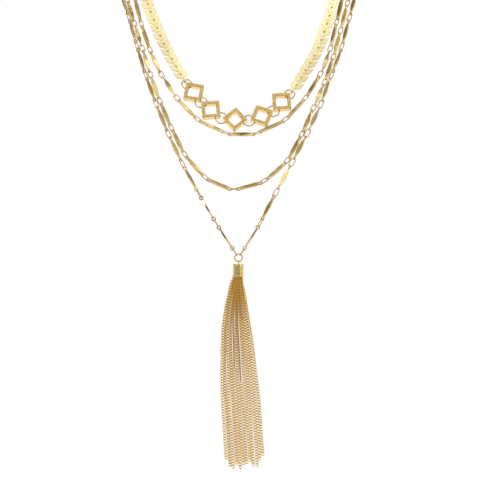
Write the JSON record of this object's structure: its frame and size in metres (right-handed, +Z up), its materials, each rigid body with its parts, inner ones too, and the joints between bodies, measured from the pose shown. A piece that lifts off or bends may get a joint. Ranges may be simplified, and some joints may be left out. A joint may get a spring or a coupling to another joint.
{
  "type": "layered necklace",
  "caption": "Layered necklace in its worn form: an inner chevron chain with open square links, bar-link chains below it and a long chain tassel hanging from a ring.",
  "frame": {"origin": "middle of the nape, on the neck side of the clasp, where the clasp rests on the back of the neck", "axes": "+Z up with the wearer upright, -Y towards the front of the wearer, +X to the right of the necklace seen from the front"},
  "size_m": [0.1612, 0.1423, 0.3561],
  "materials": {
    "brushed_gold": "pale gold plate, finely brushed",
    "polished_gold": "gold plate, polished facets",
    "satin_gold": "gold plate, scratched satin front, polished walls",
    "ring_gold": "gold plate, polished wire",
    "cap_gold": "gold plate, polished",
    "tassel_gold": "gold plate, fine curb chain",
    "clasp_gold": "gold plate, polished"
  },
  "bodies": {
    "necklace": {"frame_1": "satin_gold", "frame_2": "satin_gold", "frame_3": "satin_gold", "frame_4": "satin_gold", "frame_5": "satin_gold", "frame_ring_1": "ring_gold", "frame_ring_2": "ring_gold", "frame_ring_3": "ring_gold", "frame_ring_4": "ring_gold", "frame_ring_5": "ring_gold", "frame_ring_6": "ring_gold", "chevron_chain_left": "brushed_gold", "chevron_chain_right": "brushed_gold", "upper_bar_chain_left": "polished_gold", "upper_bar_chain_right": "polished_gold", "middle_bar_chain_left": "polished_gold", "middle_bar_chain_right": "polished_gold", "lower_bar_chain_left": "polished_gold", "lower_bar_chain_right": "polished_gold", "clasp": "clasp_gold"},
    "pendant_ring": {"pendant_ring": "ring_gold"},
    "tassel": {"tassel_cap": "cap_gold", "tassel_bundle": "tassel_gold"}
  },
  "joints": [
    {"name": "pendant_sway", "type": "hinge", "parent": "necklace", "child": "pendant_ring", "pos_m": [0, -0.132, -0.2055], "axis": [0, 1, 0], "range_deg": [-35, 35]},
    {"name": "tassel_swing", "type": "hinge", "parent": "pendant_ring", "child": "tassel", "pos_m": [0, -0.132, -0.208], "axis": [1, 0, 0], "range_deg": [-45, 45]}
  ]
}
